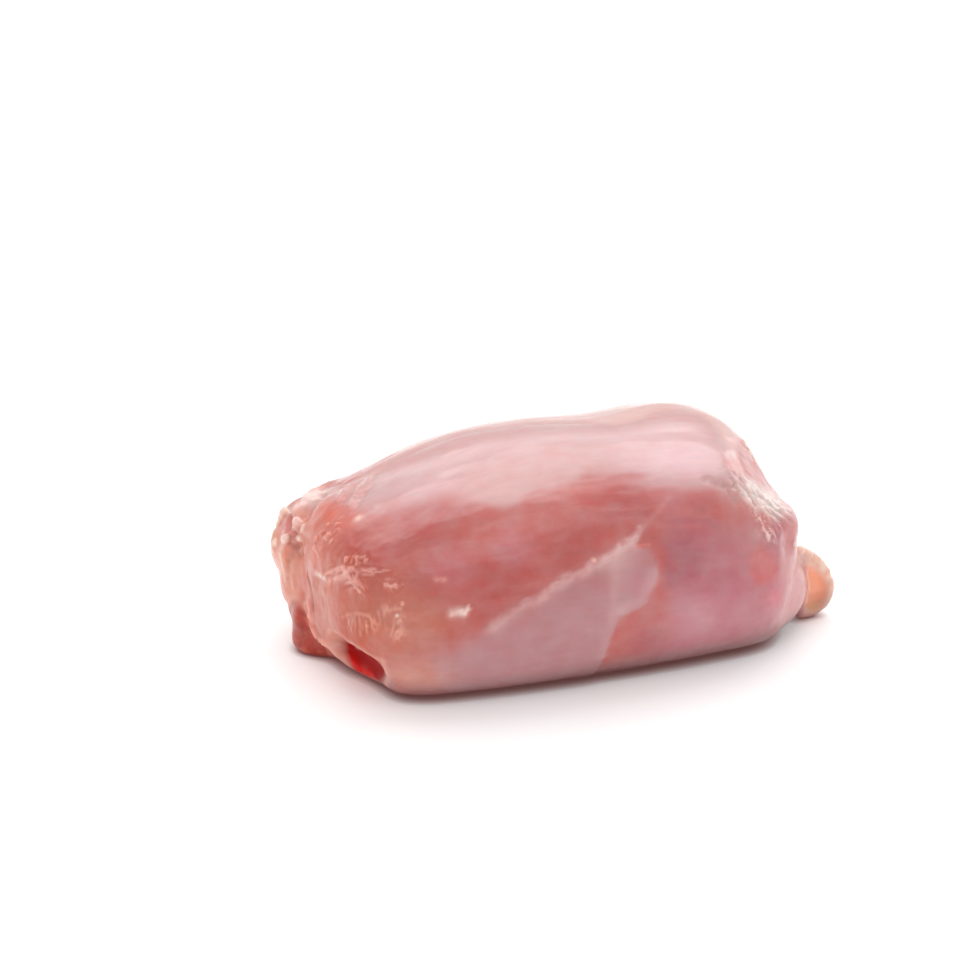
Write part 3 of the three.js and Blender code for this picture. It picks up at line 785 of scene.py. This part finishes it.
def end_patches(skin, pinch):
    """The end caps, the band and the painted highlight on the shoulder's wet wrinkles, and the flap of fat
    with its hollow.
    """
    x, y, z = skin.points.T
    band = skin.inside(END_BAND, BAND_FAR, 1.2, (2, 3, 6), 70)
    shoulder_highlight = skin.inside(SHOULDER_HIGHLIGHT, (), 1.6, 2, 75)
    return {"end_band": cover(band * pinch, 2.0 + 4 * ease(x, 45, 49)) * ease(8 - y, 0, 16),
            "shoulder_highlight": cover(shoulder_highlight * pinch, 2.0) * ease(-y, -2, 14),
            "left_cap": ease(-x + 1.5 * rough_noise(skin.points, 4, 69, 2), 43, 52),
            "left_rim": ease(-x, 40, 47) * ease(8 - y, 0, 6),
            "right_cap": ease(x, 38, 44) * ease(y, -6, 6),
            "tag": ease(x, 45.5, 47.5) * ease(-z, -18, -16) * ease(-np.abs(y + 10), -8, -6),
            "tag_hollow": cover(skin.facing(TAG_HOLLOW, 0, 2), 0.8) * ease(-y, 8.5, 10)}


def pocket_patches(skin):
    """The pocket that the bone left, the fold behind the inner roll, and the slab under it."""
    x, y, z = skin.points.T
    cavity = 1 - ease(blunt_norm(skin.points, POCKET_AT, POCKET_HALF), 1.06, 1.16)
    sunk = sunk_depth(skin, (x < -38) & (y < -4) & (z < 13), 15)
    fold = sunk_depth(skin, (x < -42) & (z > 6), 0)
    slab = blunt_norm(skin.points, SLAB_AT, SLAB_HALF)
    return {"pocket": cavity,
            "deep": cavity * ease(sunk, 0.3, 0.9) * cover(skin.facing(POCKET, 1, 2), 0.8),
            "fold": ease(fold, 0.8, 3.5) * (1 - cavity),
            "slab": (1 - ease(slab, 1.04, 1.16)) * (1 - cavity) * ease(-z, -10.8, -9.4)}


def far_round(skin):
    """The place round the roll in millimetres, counted from the near side over the top and on underneath."""
    return np.mod(skin.flat[:, 1], 2 * math.pi * UNROLL)


def far_edge_depth(skin):
    """How far each point lies beyond the sheet's free edge on the far side."""
    along, degrees = np.array(FAR_EDGE, float).T
    edge = np.interp(skin.points[:, 0], along, np.radians(degrees) * UNROLL)
    return far_round(skin) - edge + 0.8 * rough_noise(skin.points, 5, 55, 2)


def far_patches(skin):
    """The lip of the sheet's free edge, the step down beyond it, and the film of the far side."""
    x, y, _ = skin.points.T
    far = ease(y, 4, 12)
    beyond = far_edge_depth(skin)
    edge = np.array([(along, math.radians(degrees) * UNROLL) for along, degrees in FAR_FILM])
    place = np.stack([x, far_round(skin)], 1) + 1.2 * noise(skin.points, 3, 57)[:, None]
    return {"far_lip": bell(beyond + 0.4, 0.9) * far,
            "far_step": ease(beyond, -0.7, 0.7) * bell(beyond.clip(0, None), 9) * far,
            "far_film": cover(patch_depth(place, edge), 3.0) * far}


def find_patches(skin):
    """How much each kind of surface covers each point, from 0 to 1."""
    _, y, z = skin.points.T
    # Unrolling stretches the end caps towards the axis, so a patch's depth is scaled back there.
    pinch = np.clip(np.hypot(y, z - AXIS_Z) / UNROLL, 0.1, 1)
    return {**top_patches(skin, pinch), **membrane_patches(skin), **muscle_patches(skin, pinch),
            **end_patches(skin, pinch), **pocket_patches(skin), **far_patches(skin)}


def find_marks(skin):
    """Every small mark: where it lies, its height in millimetres, its colour, and how much of it there is."""
    marks = []
    for pixel, radius, height, colour in BEADS:
        dome = np.clip(1 - (skin.near(pixel) / radius) ** 2, 0, 1) ** BEAD_ROUND
        marks.append((dome, height, colour, BEAD_SHARE))
    uneven = 0.8 + 0.45 * noise(skin.points, 1.1, 92)
    for pixels, width, height, colour, share in STRANDS:
        marks.append((stroke(skin, pixels, width) * uneven, height, colour, share))
    for k, (middle, half, seen, length, width, height, colour, share) in enumerate(FILMS):
        shred = ease(streaks(skin, seen, length, width, 100 + 9 * k), 0.0, 0.5)
        marks.append((stroke(skin, middle, half) * shred, height, colour, share))
    # The folds on the end caps get painted crease shade.
    for side, folds in ((-1, LEFT_FOLDS), (1, RIGHT_FOLDS)):
        for fold in folds:
            crease = line_weight(skin, skin.cap_line(fold, side), FOLD_WIDTH) * uneven
            marks.append((crease, FOLD_HEIGHT, CREASE_SHADE, FOLD_SHADE_SHARE))
    return marks


# ---------------------------------------------------------------- relief
def bundle_relief(p, patch):
    """The muscle's bundles and fibres, calmer under the membrane and the pale top."""
    calm = 1 - CALM * np.maximum(patch["membrane"], patch["pale_top_and_highlight"])
    height = BUNDLE_RISE * rough_noise(p, (22, 7, 7), 1, 2)
    height += FIBRE_RISE * rough_noise(p, (10, 2.8, 2.8), 2) * calm
    return height + THREAD_RISE * rough_noise(p, (4.0, 0.9, 0.9), 3, 2) * calm


def film_relief(skin, patch):
    """The membrane with its torn rim and its pleat, the pale top, and the wet wrinkles of the shoulder."""
    p = skin.points
    height = MEMBRANE_RISE * patch["membrane"] + TOP_RISE * patch["pale_top_and_highlight"]
    height += RIM_RISE * patch["membrane_rim"] * patch["membrane_near"] * (1 + rough_noise(p, 1.3, 4, 2))
    height += PLEAT_RISE * stroke(skin, MEMBRANE_PLEAT, 0.9)
    return height + WRINKLE_RISE * patch["shoulder_highlight"] * rough_noise(p, (1.3, 1.3, 2.2), 5, 2)


def end_relief(p, patch):
    """The lumpy left end, both end caps, the flap with its hollow, and the sheet's edge on the far side."""
    caps = np.maximum(patch["left_cap"], patch["right_cap"])
    height = LEFT_RISE * ease(-p[:, 0], 30, 42) * rough_noise(p, 2.4, 9, 2)
    height += CAP_RISE * caps * rough_noise(p, 6, 10, 2)
    height += LIP_RISE * patch["far_lip"] - STEP_DROP * patch["far_step"] + FAR_FILM_RISE * patch["far_film"]
    return height + TAG_RISE * patch["tag"] * rough_noise(p, 2.0, 12, 2) - HOLLOW_DROP * patch["tag_hollow"]


def relief(skin, patch, marks):
    """The height of the relief in millimetres: none deep in the pocket, and none where the meat rests."""
    p = skin.points
    height = bundle_relief(p, patch) + film_relief(skin, patch) + end_relief(p, patch)
    for weight, rise, _, _ in marks:
        height += rise * weight
    return height * (1 - patch["deep"]) * ease(p[:, 2], 0.15, 2.5)


# ---------------------------------------------------------------- colour
class Paint:
    """Layers of colour over the meat, one value for each point."""

    def __init__(self, count, colour):
        self.tint = np.tile(linear(colour), (count, 1))

    def layer(self, colour, amount):
        """Lays a colour over what is there, as much of it as amount says, from 0 to 1."""
        self.tint += (linear(colour) - self.tint) * np.clip(amount, 0, 1)[:, None]


def paint_muscle(meat, p, patch):
    meat.layer(SALMON_DEEP, 0.35 * ease(rough_noise(p, (18, 6, 6), 80), 0.0, 0.6))
    meat.layer(SALMON_SOFT, 0.35 * ease(rough_noise(p, (14, 5, 5), 81), 0.0, 0.6))
    meat.layer(SALMON_SOFT, 0.5 * patch["right_cap"])
    meat.layer(PEACH, 0.8 * patch["peach"])
    meat.layer(PEACH_PALE, 0.6 * patch["peach"] * ease(rough_noise(p, 5, 82), -0.1, 0.5))
    meat.layer(MAUVE, 0.92 * patch["mauve"])
    meat.layer(DARK, 0.8 * patch["dark_muscle"])
    meat.layer(RED, 0.9 * patch["red_patch"])


def paint_membrane(meat, skin, patch, torn):
    meat.layer(SILVER, 0.85 * patch["membrane"])
    meat.layer(PEACH_PALE, 0.8 * patch["corner"])
    meat.layer(SILVER_EDGE, 0.35 * patch["membrane_band"] * patch["membrane_near"])
    meat.layer(SILVER_EDGE, 1.1 * torn * patch["membrane_rim"] * patch["membrane_near"])
    meat.layer(SILVER_EDGE, 0.35 * torn * stroke(skin, MEMBRANE_LINE, 0.6))
    meat.layer(SILVER_EDGE, 0.2 * stroke(skin, MEMBRANE_PLEAT, 1.2) + 0.3 * stroke(skin, MEMBRANE_LOBE, 1.4))


def paint_top(meat, skin, patch, torn):
    # The pale top and its streak are partly the pale membrane's colour and partly painted highlight.
    meat.layer(PALE, 0.92 * patch["pale_top_and_highlight"])
    meat.layer(PALE, 0.3 * torn * stroke(skin, PALE_HIGHLIGHT_STREAK, 1.6))
    meat.layer(CREAM, 0.85 * patch["cream_strip"])
    # Painted highlight: a white band along the top.
    meat.layer(HIGHLIGHT_BAND_WHITE, 0.65 * stroke(skin, HIGHLIGHT_BAND, 3.0))
    meat.layer(BAND, 0.8 * patch["end_band"])
    # Painted highlight: the shoulder's wet wrinkles are painted white.
    meat.layer(HIGHLIGHT_WHITE, 0.75 * patch["shoulder_highlight"])


def paint_ends(meat, p, patch, torn):
    meat.layer(END, 0.9 * patch["left_cap"] * (0.5 + 0.5 * ease(p[:, 1], 1, 8)))
    meat.layer(COLUMN_RED, 0.2 * patch["fold"])
    meat.layer(PALE, 0.4 * patch["far_film"])
    meat.layer(FAT_CREAM, 0.6 * torn * patch["far_lip"])
    meat.layer(SALMON_DEEP, 0.5 * patch["far_step"])
    meat.layer(RIM_CREAM, 0.6 * patch["pocket"])
    meat.layer(TAG_CREAM, 0.9 * patch["tag"])
    meat.layer(TAG_ORANGE, patch["tag_hollow"])
    meat.layer(TAG_AMBER, 0.8 * patch["tag_hollow"] * ease(-p[:, 2], -4.5, -1.5))


def paint_low(meat, p, patch):
    meat.layer(SLAB_RED, patch["slab"])
    meat.layer(SLAB_ORANGE, 0.6 * patch["slab"] * ease(rough_noise(p, 1.4, 85, 2), 0.1, 0.5))
    meat.layer(SLAB_DARK, 0.35 * patch["slab"] * ease(rough_noise(p, 1.0, 84, 2), 0.0, 0.5))
    # Painted shade: darker and redder low down near the floor.
    meat.layer(UNDERSIDE_SHADE, 0.8 * patch["foot"] + 0.45 * patch["low"])


def paint(skin, patch, marks):
    """The colour of each point, built up from the muscle to the marks and the pocket."""
    p = skin.points
    torn = 0.6 + 0.4 * rough_noise(p, 1.8, 83, 2)
    meat = Paint(len(p), SALMON)
    paint_muscle(meat, p, patch)
    paint_membrane(meat, skin, patch, torn)
    paint_top(meat, skin, patch, torn)
    paint_ends(meat, p, patch, torn)
    for pixel, radius, colour, share in BLUSHES:
        meat.layer(colour, share * bell(skin.near(pixel), radius))
    paint_low(meat, p, patch)
    for weight, _, colour, share in marks:
        meat.layer(colour, share * weight)
    meat.layer(POCKET_RED, patch["deep"])
    meat.layer(POCKET_BRIGHT, 0.9 * patch["deep"] * stroke(skin, POCKET_GLOW, 1.6))
    return np.clip(meat.tint, 0, 1)


def wetness(patch):
    """How wet each point is: less on the shoulder, whose highlight is painted, less where the film, the rim
    and the end are drier, and little in the pocket.
    """
    wet = 0.75 - 0.2 * patch["shoulder_highlight"] - 0.1 * patch["membrane"]
    wet = wet - 0.4 * patch["left_rim"] - 0.3 * patch["end_band"]
    return wet * (1 - 0.9 * patch["deep"]) * (1 - 0.45 * patch["slab"])


def set_field(mesh, name, values):
    if values.ndim == 1:
        field = mesh.attributes.new(name, "FLOAT", "POINT")
        field.data.foreach_set("value", values.astype(np.float32))
    else:
        field = mesh.attributes.new(name, "FLOAT_COLOR", "POINT")
        rgba = np.hstack([values, np.ones((len(values), 1))]).astype(np.float32)
        field.data.foreach_set("color", rgba.ravel())


# ---------------------------------------------------------------- the meat
def swell(skin):
    """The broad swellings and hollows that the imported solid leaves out."""
    for place, radius, height in SWELLINGS:
        near = np.linalg.norm(skin.points - place, axis=1) / radius
        skin.points += skin.normals * (height * np.clip(1 - near ** 2, 0, 1) ** 2)[:, None]


def fine_zones(skin):
    """The points where small forms show: at the left end, the right end and the membrane's edge."""
    x, y, z = skin.points.T
    left = (x < FINE_LEFT_X) & (y < FINE_LEFT_Y)
    right = (x > FINE_RIGHT_X) & (y < FINE_RIGHT_Y) & (z < FINE_RIGHT_Z)
    edge = line_distance(skin.points, skin.trace(MEMBRANE_EDGE + MEMBRANE_END)) < FINE_EDGE
    return (left | right | edge) & (z > FINE_FLOOR)


def shape_meat(piece, camera):
    """Evens out the remeshed solid, swells it, and cuts it finer where small forms go."""
    skin = Skin(piece, camera)
    x = skin.points[:, 0]
    skin.even(EVEN_ALL, np.ones(len(x)))
    kept = np.maximum(ease(-x, *KEPT_LEFT), ease(x, *KEPT_RIGHT))
    rim = RIM_SHARE * line_weight(skin, np.array(LEFT_RIM), RIM_REACH)
    skin.even(EVEN_BROAD, np.maximum(1 - kept, rim))
    skin.store()
    swell(skin)
    skin.store()
    skin.survey()
    refine(piece, fine_zones(skin))
    skin = Skin(piece, camera)
    skin.even(EVEN_CUT, np.ones(len(skin.points)))
    skin.store()
    skin.survey()
    return skin


def fit_box(skin):
    """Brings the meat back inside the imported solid's box."""
    low, high = (np.array(c) / MM for c in CAD_BOX)
    now_low, now_high = skin.points.min(0), skin.points.max(0)
    skin.points = low + (skin.points - now_low) * (high - low) / (now_high - now_low)


def make_meat(camera):
    piece = remesh(NODE, "thigh_flesh")
    skin = shape_meat(piece, camera)
    patch = find_patches(skin)
    marks = find_marks(skin)
    tint, wet = paint(skin, patch, marks), wetness(patch)
    skin.points += skin.normals * relief(skin, patch, marks)[:, None]
    fit_box(skin)
    skin.store()
    set_field(piece.data, "tint", tint)
    set_field(piece.data, "wet", wet)
    piece.data.shade_smooth()
    piece.data.materials.append(wet_meat())
    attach(piece, "root")
    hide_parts(NODE)


add_light()
add_floor()
make_meat(add_camera())
